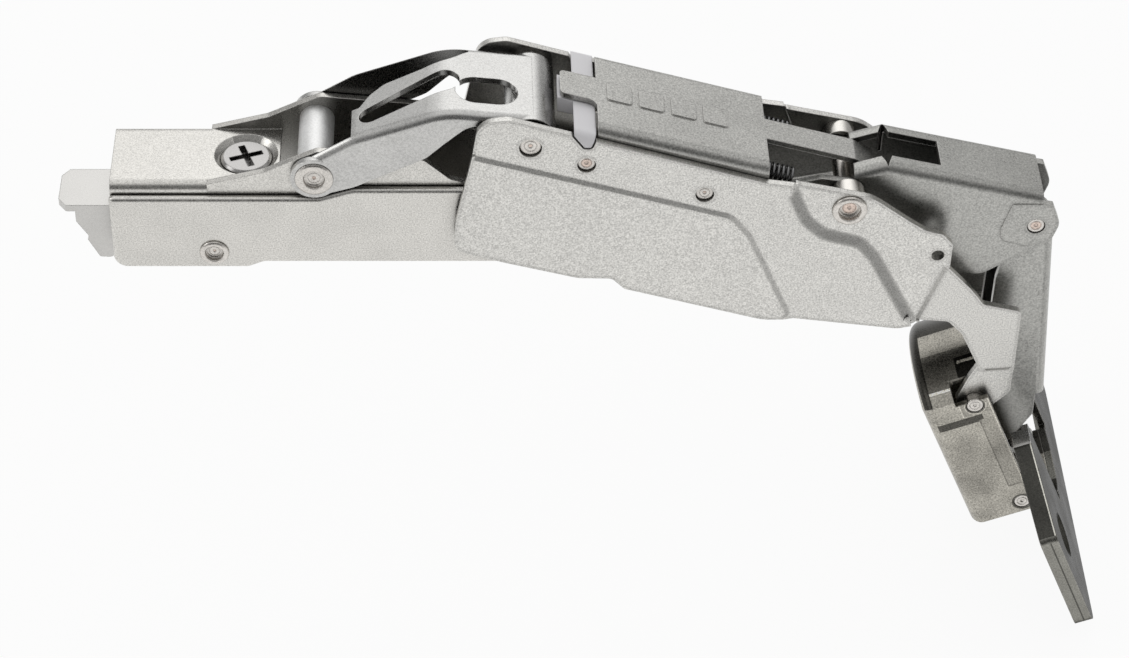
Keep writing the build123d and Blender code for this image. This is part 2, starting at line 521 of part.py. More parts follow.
def front_link():
    low = cup_point(CUP_LINK_ALONG, CUP_LINK_ABOVE)
    right = [at(LINK_PIVOT, 3.3, -2.0), at(CUP_PIVOT, 12.4, -3.1)]
    side = outline([
        at(LINK_PIVOT, -2.4, 2.6), at(LINK_PIVOT, 1.6, 2.9), at(right[0], -LINK_BEND, 0),
        at(right[1], -LINK_BEND, 0),
        at(CUP_PIVOT, 11.0, -7.6), at(low, -3.2, 6.3), at(low, 3.6, 2.2), at(low, 2.8, -3.6),
        at(low, -3.2, -2.8), at(low, -7.4, 9.0), at(CUP_PIVOT, 1.6, 8.0), at(LINK_PIVOT, -4.6, -12.0)],
        [2.2, 1.4, 0, 0, 1.0, 0.4, 1.4, 2.4, 2.6, 4.0, 3.0, 4.0])
    inner = LINK_HALF - LINK_SHEET
    flanges = both_sides(slab(side, inner, LINK_HALF))
    body = flanges + folded_web(right, LINK_HALF, LINK_SHEET, (-1, 0), LINK_BEND)
    return body - bar(LINK_PIVOT, RIVET_RADIUS + PIN_FIT, 10) - bar(low, RIVET_RADIUS + PIN_FIT, 10)


# ---------------------------------------------------------------- cup and flange, in a tilted frame
CUP_TILT = 23.5              # of the cup's axis above the horizontal, fully open
CUP_DIAMETER = 35.0
CUP_AXIS_ALONG = 12.0        # from the cup pivot to the cup's axis
DOOR_ABOVE = 3.5             # from the cup pivot to the door face
CUP_DEPTH = 11.8             # below the door face
FLANGE_ABOVE = 2.9           # flange top over the door face
CUP_LINK_ALONG = 23.8        # from the cup pivot to the lower pin
CUP_LINK_ABOVE = 0.8
CUP_BOTTOM_RADIUS = 2.0
RIM_HALF = 7.5               # the cup's wall rises to carry the flange within this half width
RIM_START = 8.0              # and beyond this, measured from the cup's axis
MOUTH_CORNER = 7.9
MOUTH_BELOW = 1.1            # rest of the mouth, below the door face
LUG_SLOT_REACH = 1.0         # the end wall is cut away for the lugs up to here, short of the pivot
LUG_SLOT_BELOW = 2.9
BAR_ABOVE = -3.0             # spring bar behind the cup's window, below the cup pivot
BAR_RADIUS = 0.6
BAR_HALF = 5.0
SCREW_PITCH = 42.0
SCREW_OFFSET = 11.0          # screw line beyond the cup's axis
SCREW_HOLE_RADIUS = 2.2
COUNTERSINK_RADIUS = 3.8
FLANGE_HALF = 28.9
FLANGE_LOWER = 25.3          # lower edge beyond the cup's axis
EAR_UPPER = 3.4              # upper edge of the ears beyond the cup's axis
NORMAL = (math.cos(math.radians(CUP_TILT)), math.sin(math.radians(CUP_TILT)))
ALONG = (NORMAL[1], -NORMAL[0])
CUP_PLANE = Plane(origin=(CUP_PIVOT[0], 0, CUP_PIVOT[1]), x_dir=(ALONG[0], 0, ALONG[1]),
                  z_dir=(NORMAL[0], 0, NORMAL[1]))


def cup_point(along, above):
    """Side-view point in the cup's frame, from the cup pivot."""
    return (CUP_PIVOT[0] + along * ALONG[0] + above * NORMAL[0],
            CUP_PIVOT[1] + along * ALONG[1] + above * NORMAL[1])


def cup_profile(shrink):
    """Plan of the cup: a circle cut by two flat walls."""
    disc = Pos(CUP_AXIS_ALONG, 0) * Circle(CUP_DIAMETER / 2 - shrink)
    return disc & (Pos(CUP_AXIS_ALONG, 0) * Rectangle(CUP_DIAMETER * 2, 2 * (CUP_HALF - shrink)))


def cup_shell():
    bottom = DOOR_ABOVE - CUP_DEPTH
    under_flange = DOOR_ABOVE + FLANGE_ABOVE - FLANGE_SHEET
    body = extrude(Plane.XY.offset(bottom) * cup_profile(0), amount=under_flange - bottom)
    body = fillet(body.faces().sort_by(Axis.Z)[0].edges(), CUP_BOTTOM_RADIUS)
    body -= extrude(Plane.XY.offset(bottom + CUP_SHEET) * cup_profile(CUP_SHEET), amount=CUP_DEPTH * 2)
    rim_middle = CUP_AXIS_ALONG + RIM_START + CUP_DIAMETER / 2
    rim_support = Pos(rim_middle, 0) * Rectangle(CUP_DIAMETER, 2 * RIM_HALF)
    opened = Pos(CUP_AXIS_ALONG, 0) * Rectangle(2 * CUP_DIAMETER, 2 * CUP_DIAMETER) - rim_support
    body -= extrude(Plane.XY.offset(DOOR_ABOVE - MOUTH_BELOW) * opened, amount=CUP_DEPTH)
    lug_inner = LUG_HALF - PLATE_SHEET - GAP
    slot_width = CUP_HALF - lug_inner
    for side in (-1, 1):
        slot = Pos(-LUG_SLOT_REACH - 4, side * (lug_inner + slot_width / 2)) * Rectangle(8, slot_width + 0.02)
        body -= extrude(Plane.XY.offset(-LUG_SLOT_BELOW) * slot, amount=CUP_DEPTH)
    low = cup_point(CUP_LINK_ALONG, CUP_LINK_ABOVE)
    return CUP_PLANE * body - bar(CUP_PIVOT, RIVET_RADIUS, 40) - bar(low, RIVET_RADIUS, 40)


def mounting_flange():
    top = DOOR_ABOVE + FLANGE_ABOVE
    centre = CUP_AXIS_ALONG
    shape = make_face(FilletPolyline(
        (centre + FLANGE_LOWER, -FLANGE_HALF), (centre + EAR_UPPER, -FLANGE_HALF), (centre - 4.0, -14.0),
        (centre - 4.0, 14.0), (centre + EAR_UPPER, FLANGE_HALF), (centre + FLANGE_LOWER, FLANGE_HALF),
        radius=[3.0, 1.6, 2.5, 2.5, 1.6, 3.0], close=True))
    solid = extrude(CUP_PLANE.offset(DOOR_ABOVE) * shape, amount=FLANGE_ABOVE)
    core_shape = offset(shape, amount=-FLANGE_SHEET)
    solid -= extrude(CUP_PLANE.offset(DOOR_ABOVE - 1) * core_shape, amount=FLANGE_ABOVE - FLANGE_SHEET + 1)
    mouth = cup_profile(CUP_SHEET) + Pos(CUP_AXIS_ALONG - 15, 0) * Rectangle(30, 2 * CUP_INNER_HALF)
    corner_width = CUP_INNER_HALF - RIM_HALF
    for side in (-1, 1):
        corner = Rectangle(2 * MOUTH_CORNER, corner_width)
        mouth += Pos(CUP_AXIS_ALONG + MOUTH_CORNER, side * (RIM_HALF + corner_width / 2)) * corner
    solid -= extrude(CUP_PLANE.offset(-20) * mouth, amount=40)
    clearance = extrude(CUP_PLANE.offset(-20) * cup_profile(0), amount=20 + top - FLANGE_SHEET)
    solid -= clearance
    for side in (-1, 1):
        spot = (centre + SCREW_OFFSET, side * SCREW_PITCH / 2)
        solid -= extrude(CUP_PLANE.offset(top) * Pos(*spot) * Circle(SCREW_HOLE_RADIUS), amount=-20)
        solid -= flare(CUP_PLANE.offset(top), spot, COUNTERSINK_RADIUS, SCREW_HOLE_RADIUS, FLANGE_SHEET / 2)
    return solid


# ---------------------------------------------------------------- release lever
TONGUE_REAR = -24.0
TONGUE_TOP = 9.2
LEVER_SHEET = 1.0
LEVER_HALF = 4.4
LEVER_EYE = 3.0


def release_lever():
    inner = LEVER_HALF - LEVER_SHEET
    cheek = outline([
        (TONGUE_REAR + 2.6, TONGUE_TOP), (TONGUE_REAR + 2.6, TONGUE_TOP - 3.2), (TONGUE_REAR + 4.4, 3.0),
        (TONGUE_REAR + 4.1, 2.4), (TONGUE_REAR + 5.8, -1.1), (TONGUE_REAR + 7.6, -1.2),
        (TONGUE_REAR + 9.6, 1.0), at(CLIP_PIVOT, -3.0, -LEVER_EYE + 0.4), at(CLIP_PIVOT, 1.0, -LEVER_EYE),
        at(CLIP_PIVOT, LEVER_EYE, 0.6),
        at(CLIP_PIVOT, 1.4, LEVER_EYE), (TONGUE_REAR + 13.0, TONGUE_TOP)],
        [0, 0.6, 0.3, 0.3, 0.4, 0.8, 1.5, 2.0, 2.0, 1.6, 2.0, 1.0])
    body = both_sides(slab(cheek, inner, LEVER_HALF))
    plate = make_face(FilletPolyline(
        (TONGUE_REAR + 11.5, -LEVER_HALF), (TONGUE_REAR + 1.2, -LEVER_HALF), (TONGUE_REAR, -LEVER_HALF + 1.6),
        (TONGUE_REAR, LEVER_HALF - 1.6), (TONGUE_REAR + 1.2, LEVER_HALF), (TONGUE_REAR + 11.5, LEVER_HALF),
        radius=[0.2, 0.4, 0.4, 0.4, 0.4, 0.2], close=True))
    body += extrude(Plane.XY.offset(TONGUE_TOP) * plate, amount=-LEVER_SHEET * 1.2)
    brace = outline([
        (TONGUE_REAR + 3.2, TONGUE_TOP - 0.5), (TONGUE_REAR + 5.0, 3.0), (TONGUE_REAR + 6.4, -0.6),
        (TONGUE_REAR + 7.4, -0.2), (TONGUE_REAR + 6.0, 3.2), (TONGUE_REAR + 4.2, TONGUE_TOP - 0.5)])
    slot = Pos(TONGUE_REAR + 5.6, 0, 2.4) * Box(6, 3.0, 3.2)
    body += slab(brace, -inner, inner) - slot
    return body - bar(CLIP_PIVOT, PIN_RADIUS + PIN_FIT, LEVER_HALF + 1)


def lever_spring():
    turns = 4
    pitch = 1.0
    centre = (CLIP_PIVOT[0], -turns * pitch / 2, CLIP_PIVOT[1])
    return coil(centre, PIN_RADIUS + GAP + 0.35, 0.3, pitch, turns, (0, 1, 0))


# ---------------------------------------------------------------- pins, rivets, sleeves and washers
def tube(pivot, radius, bore, inner, outer):
    """Round sleeve on the near side, between two distances from the mid-plane."""
    return across(pivot, radius, inner, outer) - across(pivot, bore, inner - 1, outer + 1)


def clip_rivet():
    return rivet(CLIP_PIVOT, PIN_RADIUS, HOUSING_HALF, 2.3, 0.5)


def rear_pivot_pin():
    return rivet(REAR_PIVOT, PIN_RADIUS, HOUSING_HALF, 3.05, 0.35, 0.58, 0.8)


def rear_pivot_sleeve():
    return tube(REAR_PIVOT, SLEEVE_RADIUS, PIN_RADIUS, -CHANNEL_INNER, CHANNEL_INNER)


def nose_pivot_pin():
    return bar(NOSE_PIVOT, RIVET_RADIUS, CHANNEL_HALF)


def fork_pivot_pin():
    return rivet(FORK_PIVOT, PIN_RADIUS, BAND_HALF)


def fork_bush():
    return tube(FORK_PIVOT, FORK_TOP - FORK_SHEET, PIN_RADIUS + PIN_FIT, -FORK_EYE_HALF, FORK_EYE_HALF)


def fork_washers():
    return both_sides(tube(FORK_PIVOT, 3.4, PIN_RADIUS, FORK_EYE_HALF + GAP, BAND_HALF - PLATE_SHEET))


def rear_cross_rivet():
    return rivet(REAR_RIVET, RIVET_RADIUS, BAND_HALF)


def front_cross_rivet():
    return rivet(FRONT_RIVET, RIVET_RADIUS, BAND_HALF)


def scissor_pivot_pin():
    return rivet(SCISSOR_PIVOT, PIN_RADIUS, PIVOT_HALF, BIG_HEAD_RADIUS, BIG_HEAD_HEIGHT)


def scissor_bushes():
    return both_sides(tube(SCISSOR_PIVOT, 2.8, PIN_RADIUS, UPPER_HALF + CLOSE_GAP, PIVOT_HALF - PLATE_SHEET))


def link_pivot_rivets():
    seat = UPPER_HALF + PATCH_HEIGHT
    head = across(LINK_PIVOT, HEAD_RADIUS, seat, seat + HEAD_HEIGHT)
    return both_sides(across(LINK_PIVOT, RIVET_RADIUS, UPPER_HALF - UPPER_SHEET, seat) + head)


def cup_pivot_pins():
    return both_sides(across(CUP_PIVOT, RIVET_RADIUS, LUG_HALF - PLATE_SHEET - 0.1, CUP_HALF + 0.15))


def cup_link_pin():
    return bar(cup_point(CUP_LINK_ALONG, CUP_LINK_ABOVE), RIVET_RADIUS, CUP_HALF + 0.15)


def cup_spring_bar():
    """Its ends lie against the inside of the cup's curved end wall."""
    inner_radius = CUP_DIAMETER / 2 - CUP_SHEET
    along = CUP_AXIS_ALONG - math.sqrt(inner_radius ** 2 - BAR_HALF ** 2) + BAR_RADIUS
    return bar(cup_point(along, BAR_ABOVE), BAR_RADIUS, BAR_HALF)


NODES = [
    arm_housing, adjusting_channel, side_adjust_screw, clip_rivet, release_lever, lever_spring,
    rear_pivot_pin, rear_pivot_sleeve, nose_pivot_pin, rear_fork_link, fork_bush, fork_pivot_pin,
    fork_washers, cover_channel, rear_cross_rivet, front_cross_rivet, damper_cylinder, damper_rod,
    damper_slider, closing_springs, scissor_pivot_pin, scissor_bushes, upper_front_channel,
    link_pivot_rivets, front_link, cup_shell, mounting_flange, cup_pivot_pins, cup_link_pin,
    cup_spring_bar]

for make in NODES:
    save(make.__name__, make())
near_plate = side_plate()
save("side_plate_near", near_plate)
save("side_plate_far", mirror(near_plate, about=Plane.XZ))
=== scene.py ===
# %% [markdown]
# # A wide-angle cabinet hinge in satin nickel
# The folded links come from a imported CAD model, which Blender loads as a fixed frame. This lesson adds what
# CAD doesn't hold: a camera, soft light, finishes with grain, stains and worn edges, and the small turned and
# wound pieces. Blender's lengths are metres, so a size in mm is multiplied by MM.

# %% Load the frame
import math

import bpy
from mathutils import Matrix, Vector


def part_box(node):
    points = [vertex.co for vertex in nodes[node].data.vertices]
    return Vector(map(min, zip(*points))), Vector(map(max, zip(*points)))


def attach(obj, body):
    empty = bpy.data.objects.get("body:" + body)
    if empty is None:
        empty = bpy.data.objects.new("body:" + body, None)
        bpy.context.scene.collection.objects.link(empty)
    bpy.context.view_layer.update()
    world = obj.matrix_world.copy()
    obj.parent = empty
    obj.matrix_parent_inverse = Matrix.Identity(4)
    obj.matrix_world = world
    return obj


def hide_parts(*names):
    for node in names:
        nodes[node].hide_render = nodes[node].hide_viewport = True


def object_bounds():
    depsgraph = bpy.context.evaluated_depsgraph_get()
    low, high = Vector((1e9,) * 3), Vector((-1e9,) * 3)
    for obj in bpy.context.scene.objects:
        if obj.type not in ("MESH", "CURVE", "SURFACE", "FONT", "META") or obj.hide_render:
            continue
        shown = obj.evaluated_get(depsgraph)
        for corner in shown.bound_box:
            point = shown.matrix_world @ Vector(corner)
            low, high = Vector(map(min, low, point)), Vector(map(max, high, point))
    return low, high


MM = 0.001
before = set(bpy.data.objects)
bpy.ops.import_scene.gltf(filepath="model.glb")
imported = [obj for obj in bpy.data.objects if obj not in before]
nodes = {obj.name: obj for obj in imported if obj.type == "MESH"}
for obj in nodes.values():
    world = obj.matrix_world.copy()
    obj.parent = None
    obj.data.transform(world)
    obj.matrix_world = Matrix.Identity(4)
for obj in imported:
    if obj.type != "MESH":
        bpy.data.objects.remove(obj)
cad_box = [list(corner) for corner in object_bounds()]
print("pieces from CAD:", len(nodes), "box:", cad_box)

# %% [markdown]
# ## Camera
# A long lens from well above one side keeps the hinge's parallel edges nearly parallel. The lens axis isn't
# centred on the picture. The camera could turn to frame the hinge, but that would skew its edges, so a
# horizontal shift of the lens does it.

# %% Camera
IMAGE_WIDTH = 1129  # pixels
FOCAL_LENGTH = 3030  # pixels
AXIS_COLUMN = 455  # the pixel column that the lens axis meets
SENSOR_WIDTH = 36  # mm
ELEVATION = 42  # degrees
CAMERA_PLACE = (0.0369, -0.3619, 0.3056)
NEAREST_SEEN = 0.02

lens = bpy.data.cameras.new("long_lens")
lens.sensor_width = SENSOR_WIDTH
lens.lens = SENSOR_WIDTH * FOCAL_LENGTH / IMAGE_WIDTH
lens.shift_x = (IMAGE_WIDTH / 2 - AXIS_COLUMN) / IMAGE_WIDTH
lens.clip_start = NEAREST_SEEN
camera = bpy.data.objects.new("camera", lens)
camera.location = CAMERA_PLACE
camera.rotation_euler = (math.radians(90 - ELEVATION), 0, 0)
bpy.context.scene.collection.objects.link(camera)
bpy.context.scene.camera = camera
print("lens mm:", round(lens.lens, 1), "shift:", round(lens.shift_x, 3))

# %% [markdown]
# ## Helpers for node trees
# Every finish below is a tree of nodes. Each node could be made, set and linked on lines of its own, which
# would hide the idea under the wiring. Here one call makes a node: an input that gets a number or a colour is
# set, and an input that gets another node's output is linked.

# %% Node helpers
WHITE = (1, 1, 1, 1)


def add(tree, kind, inputs=None, **options):
    """Adds a node with these options. Each input gets a constant or the output of another node."""
    node = tree.nodes.new(kind)
    for name, value in options.items():
        setattr(node, name, value)
    for socket, value in (inputs or {}).items():
        if isinstance(value, bpy.types.NodeSocket):
            tree.links.new(value, node.inputs[socket])
        else:
            node.inputs[socket].default_value = value
    return node


def calculated(tree, operation, *values):
    """The result of one Math node."""
    return add(tree, "ShaderNodeMath", dict(enumerate(values)), operation=operation).outputs[0]


def dot(tree, vector, axis):
    """How far one vector reaches along another."""
    return add(tree, "ShaderNodeVectorMath", {0: vector, 1: axis}, operation="DOT_PRODUCT").outputs["Value"]


def new_material(name):
    """A material with an empty node tree."""
    material = bpy.data.materials.new(name)
    material.use_nodes = True
    material.node_tree.nodes.clear()
    return material, material.node_tree


print("materials before any finish:", len(bpy.data.materials))

# %% [markdown]
# ## Floor paper
# The hinge lies on white studio paper. A floor lit until it is white would flood the metal with light. So
# the paper is plain and diffuse for the light that falls on it, and glows white where it is looked at,
# straight or in a reflection. A Light Path node tells the two apart. A little of the diffuse paper stays
# mixed in, for the hinge's faint shadow.

# %% Floor paper
PAPER_COLOUR = (0.86, 0.86, 0.85, 1)
GLOW_SHARE = 0.93


def floor_paper():
    """Paper that is white to the eye, and plain to the lamps."""
    material, tree = new_material("floor_paper")
    rays = add(tree, "ShaderNodeLightPath").outputs
    seen = rays["Is Camera Ray"]
    for ray in ("Is Glossy Ray", "Is Transmission Ray"):
        seen = calculated(tree, "MAXIMUM", seen, rays[ray])
    share = calculated(tree, "MULTIPLY", seen, GLOW_SHARE)
    plain = add(tree, "ShaderNodeBsdfDiffuse", {"Color": PAPER_COLOUR})
    glow = add(tree, "ShaderNodeEmission", {"Color": WHITE, "Strength": 1.0})
    blend = add(tree, "ShaderNodeMixShader", {"Fac": share, 1: plain.outputs[0], 2: glow.outputs[0]})
    add(tree, "ShaderNodeOutputMaterial", {"Surface": blend.outputs[0]})
    return material


paper = floor_paper()
print("floor paper nodes:", len(paper.node_tree.nodes))

# %% [markdown]
# ## Floor
# Bare metal has hardly any colour of its own: it shows the room. A wide pale floor is what the upright
# walls of the hinge mirror, so it is made first. A cove that curves up behind would do too, but one large
# plane just under the lowest edge reaches out of sight and needs no curve.

# %% Floor
FLOOR_SIZE = 6.0
FLOOR_GAP = 1.5 * MM


def make_floor(height):
    """One square of paper."""
    half = FLOOR_SIZE / 2
    mesh = bpy.data.meshes.new("floor")
    corners = [(-half, -half, height), (half, -half, height), (half, half, height), (-half, half, height)]
    mesh.from_pydata(corners, [], [(0, 1, 2, 3)])
    mesh.materials.append(paper)
    floor = bpy.data.objects.new("floor", mesh)
    bpy.context.scene.collection.objects.link(floor)


make_floor(cad_box[0][2] - FLOOR_GAP)
print("floor at", round(cad_box[0][2] - FLOOR_GAP, 4))

# %% [markdown]
# ## Room
# The world is a studio seen from the hinge: mid grey all round, a bright ceiling that is strongest above
# and behind, and a dark opening low in front. Flat tops mirror the ceiling, upright walls mirror the floor,
# and every rounded fold shows the ceiling's bright line above the dark one. A panorama picture could stand
# in for it, but three soft round patches are easier to aim. The camera itself sees a pale backdrop instead.

# %% Room
ROOM_GREY = 0.42
BACKDROP = 0.96
# Each patch: its direction, the cosine where it starts, the cosine where it is full, the brightness it adds.
CEILING = ((0, 0.74, 0.67), 0.80, 0.97, 0.69)
OVERHEAD = ((0, -0.05, 1.0), 0.70, 0.98, 0.50)
DARK_FRONT = ((0, -0.92, 0.38), 0.80, 0.93, -0.28)


def make_room():
    """Grey surroundings with soft round patches, behind a pale backdrop that only the camera sees."""
    world = bpy.data.worlds.new("room")
    world.use_nodes = True
    tree = world.node_tree
    tree.nodes.clear()
    direction = add(tree, "ShaderNodeTexCoord").outputs["Generated"]
    total = ROOM_GREY
    for toward, start, full, amount in (CEILING, OVERHEAD, DARK_FRONT):
        angle = dot(tree, direction, Vector(toward).normalized())
        light = add(tree, "ShaderNodeMapRange", {"Value": angle, "From Min": start, "From Max": full,
                                                 "To Max": amount}, interpolation_type="SMOOTHSTEP")
        total = calculated(tree, "ADD", total, light.outputs["Result"])
    camera_ray = add(tree, "ShaderNodeLightPath").outputs["Is Camera Ray"]
    shown = calculated(tree, "MAXIMUM", total, calculated(tree, "MULTIPLY", camera_ray, BACKDROP))
    room = add(tree, "ShaderNodeBackground", {"Color": shown, "Strength": 1.0})
    add(tree, "ShaderNodeOutputWorld", {"Surface": room.outputs[0]})
    return world


bpy.context.scene.world = make_room()
print("room nodes:", len(bpy.context.scene.world.node_tree.nodes))

# %% [markdown]
# ## Lamps
# The room alone would leave the folds flat. Two weak softboxes give the light a direction: a wide one high
# behind the hinge for its tops, and a square one beyond its rear end. Area lamps are used because their
# highlights on metal have soft edges, where a spot or a sun would burn hard dots.

# %% Lamps
LAMP_TARGET = (0.06, 0.0, 0.0)


def softbox(name, place, width, height, watts):
    """A rectangular lamp that faces the middle of the hinge."""
    light = bpy.data.lights.new(name, "AREA")
    light.shape = "RECTANGLE"
    light.size = width
    light.size_y = height
    light.energy = watts
    lamp = bpy.data.objects.new(name, light)
    lamp.location = place
    lamp.rotation_euler = (Vector(LAMP_TARGET) - Vector(place)).to_track_quat("-Z", "Y").to_euler()
    bpy.context.scene.collection.objects.link(lamp)


softbox("key_box", place=(0.1, 0.75, 0.75), width=0.6, height=0.4, watts=0.35)
softbox("side_box", place=(-0.75, -0.1, 0.45), width=0.4, height=0.4, watts=1.0)
bpy.context.scene.view_settings.view_transform = "Standard"

# %% [markdown]
# ## Speckle and stains
# Nickel plate over tumbled steel is mirror-like under a fine skin of dents, with broad cloudy stains. A tiled
# picture of metal could show both, but would repeat, and noise on Object coordinates doesn't. Noise seldom
# reaches 0 or 1, so the span that it mostly fills is spread over the wanted values.

# %% Speckle and stains
NOISE_LOW, NOISE_HIGH = 0.3, 0.7
STAIN_SCALE = 140  # per metre


def noise(tree, place, scale, detail=2.0, roughness=0.5):
    """A noise pattern around 0.5."""
    return add(tree, "ShaderNodeTexNoise", {"Vector": place, "Scale": scale, "Detail": detail,
                                            "Roughness": roughness}).outputs["Fac"]


def ramp(tree, value, start, end, low=0.0, high=1.0):
    """Goes from low to high while the value goes from start to end, and no further."""
    return add(tree, "ShaderNodeMapRange", {"Value": value, "From Min": start, "From Max": end,
                                            "To Min": low, "To Max": high}).outputs["Result"]


def spread(tree, pattern, low, high):
    """The usual span of a noise pattern, spread from low to high."""
    return ramp(tree, pattern, NOISE_LOW, NOISE_HIGH, low, high)


print("stains about mm apart:", round(1 / STAIN_SCALE / MM, 1))

# %% [markdown]
# ## Rubbed edges and painted gap shade
# Tumbling rubs the plating bright on sharp edges, and that brightness is also a painted highlight along
# them. Narrow gaps get painted shade, darker the less open space there is round them. Chamfers and painted
# masks could show this. Two shader nodes do it without extra geometry. Where the true normal differs from one
# that a Bevel node has rounded off, there is an edge. Where Ambient Occlusion finds little open space, there
# is a gap.

# %% Rubbed edges and painted gap shade
EDGE_RADIUS = 0.22 * MM
EDGE_SAMPLES = 4
RUB_STARTS, RUB_IS_FULL = 0.99, 0.80  # cosine between the true normal and the rounded one
RUBBED_AND_HIGHLIT_COLOUR = (0.93, 0.91, 0.87, 1)
GAP_SAMPLES = 6
GAP_CLOSED, GAP_OPEN = 0.25, 0.85  # open share of what is near


def rounded_normal(tree, radius, samples):
    """The normal, as if edges were rounded to this radius."""
    return add(tree, "ShaderNodeBevel", {"Radius": radius}, samples=samples).outputs["Normal"]


def rubbed_and_highlit_edges(tree, rounded):
    """0 on flat metal, and up to 1 on edges."""
    true_normal = add(tree, "ShaderNodeNewGeometry").outputs["Normal"]
    return ramp(tree, dot(tree, rounded, true_normal), RUB_STARTS, RUB_IS_FULL)


def painted_gap_shade(tree, gap_shade, reach):
    """Painted shade, as a brightness: 1 in the open, and darker by the given share in gaps narrower than
    reach, in mm.
    """
    nearby = add(tree, "ShaderNodeAmbientOcclusion", {"Distance": reach * MM}, samples=GAP_SAMPLES)
    return ramp(tree, nearby.outputs["AO"], GAP_CLOSED, GAP_OPEN, low=1 - gap_shade)


print("edges rubbed over mm:", EDGE_RADIUS / MM)

# %% [markdown]
# ## Painted shade on pressed slopes
# The side plates step inwards on their way to the cup. A press leaves each step as a soft slope, which
# mirrors a darker part of the room than the flat levels do. More lamps would show this too, but would change
# every other piece. So painted shade darkens the colour by how far a softened normal turns from the side.

# %% Pressed slopes
PRESS_RADIUS = 1.0 * MM
PRESS_SAMPLES = 6
SLOPE_STARTS, SLOPE_ENDS = 0.60, 0.99  # how squarely the normal faces sideways
# How squarely the normal faces sideways, share of the darkening there.
SLOPE_SHARES = ((0.80, 0.3), (0.90, 0.4), (0.936, 0.55), (0.962, 1.0), (0.982, 0.4))


def pressed_slopes(tree, darkest):
    """Painted shade, as the brightness of an upright sheet: 1 on its flat levels, down to darkest on the
    slopes between them.
    """
    soft = rounded_normal(tree, PRESS_RADIUS, PRESS_SAMPLES)
    local = add(tree, "ShaderNodeVectorTransform", {0: soft}, vector_type="NORMAL", convert_from="WORLD",
                convert_to="OBJECT")
    sideways = add(tree, "ShaderNodeSeparateXYZ", {0: local.outputs[0]}).outputs["Y"]
    fade = add(tree, "ShaderNodeValToRGB", {"Fac": calculated(tree, "ABSOLUTE", sideways)})
    stops = fade.color_ramp.elements
    stops[0].position, stops[0].color = SLOPE_STARTS, WHITE
    stops[1].position, stops[1].color = SLOPE_ENDS, WHITE
    for position, share in SLOPE_SHARES:
        level = 1 - share * (1 - darkest)
        stops.new(position).color = (level, level, level, 1)
    return fade.outputs["Color"]


print("slopes softened over mm:", PRESS_RADIUS / MM)

# %% [markdown]
# ## The faces that marks lie on
# The cup has shallow steps, rings and lines, no deeper than a hair, and folded sheet gets less light inside
# than out. Their shade and highlights could come from steps cut into the CAD, or be unwrapped and painted.
# Here they are painted as marks, each a region with its own brightness, measured from the cup's pivot in the
# cup's own tilted directions, because most of them run parallel to its rim. A face is told by how squarely
# its normal meets an axis.

# %% Faces
CUP_PIVOT = Vector((0.120, 0, -0.0274))
CUP_TILT = math.radians(23.5)
CUP_ABOVE = Vector((math.cos(CUP_TILT), 0, math.sin(CUP_TILT)))
CUP_ALONG = Vector((math.sin(CUP_TILT), 0, -math.cos(CUP_TILT)))
ACROSS = Vector((0, 1, 0))
UP = Vector((0, 0, 1))
OUTWARD = None  # away from the hinge's middle plane, on both sides of it
SQUARELY = 1.1  # more than any cosine
# Each kind of face: the axis it looks along, and the least and the greatest cosine to that axis. "wall" is a
# side wall's outer face, and "inside" its inner one.
FACES = {
    "top": (UP, 0.95, SQUARELY),
    "rim": (CUP_ABOVE, 0.90, SQUARELY),
    "end": (-CUP_ALONG, 0.55, SQUARELY),
    "ear": (-CUP_ALONG, 0.15, 0.98),
    "wall": (OUTWARD, 0.95, SQUARELY),
    "inside": (OUTWARD, -SQUARELY, -0.6)}


def patch(faces, brightness, along=None, across=None, above=None):
    """A mark on one kind of face, mostly painted shade or a painted highlight, between limits in mm from the
    pivot. No limit means everywhere.
    """
    return faces, brightness, (along, across, above), None


def ring(brightness, inner, outer, along=0.0, above=0.0):
    """A round mark of painted shade or highlight on both side walls, between two radii in mm, about a point
    in mm from the pivot.
    """
    return "wall", brightness, (None, None, None, (inner, outer)), (along, above, 0)


print("kinds of face:", list(FACES))

# %% [markdown]
# ## Drawing the marks
# A mark's mask is 1 on its kind of face and between its limits, and 0 elsewhere. The limits are multiplied,
# as each one cuts the region down. All masks could be added up, but where two overlap they would both count.
# So later marks cover earlier ones, like layers of paint, and a fine line can cross a broad patch.

# %% Marks
def within(tree, value, low, high):
    """1 where the value lies between low and high."""
    return calculated(tree, "COMPARE", value, (low + high) / 2, (high - low) / 2)


def marked(tree, where, marks):
    """Brightness of the marks: 1 where there is none."""
    from_pivot = add(tree, "ShaderNodeVectorMath", {0: where["Object"], 1: CUP_PIVOT}, operation="SUBTRACT")
    along, across, above = (dot(tree, from_pivot.outputs[0], axis / MM)
                            for axis in (CUP_ALONG, ACROSS, CUP_ABOVE))
    side = calculated(tree, "SIGN", across)
    outward = calculated(tree, "MULTIPLY", dot(tree, where["Normal"], ACROSS), side)
    tone = 1.0
    for faces, brightness, limits, centre in marks:
        axis, low, high = FACES[faces]
        facing = outward if axis is OUTWARD else dot(tree, where["Normal"], axis)
        mask = within(tree, facing, low, high)
        distances = [along, across, above]
        if centre:
            side_view = add(tree, "ShaderNodeCombineXYZ", {0: along, 1: above}).outputs[0]
            away = add(tree, "ShaderNodeVectorMath", {0: side_view, 1: centre}, operation="DISTANCE")
            distances.append(away.outputs["Value"])
        for distance, span in zip(distances, limits):
            if span:
                mask = calculated(tree, "MULTIPLY", mask, within(tree, distance, *span))
        tone = add(tree, "ShaderNodeMix", {"Factor": mask, "A": tone, "B": brightness}).outputs["Result"]
    return tone


print("cup pivot mm:", [round(value / MM, 1) for value in CUP_PIVOT])
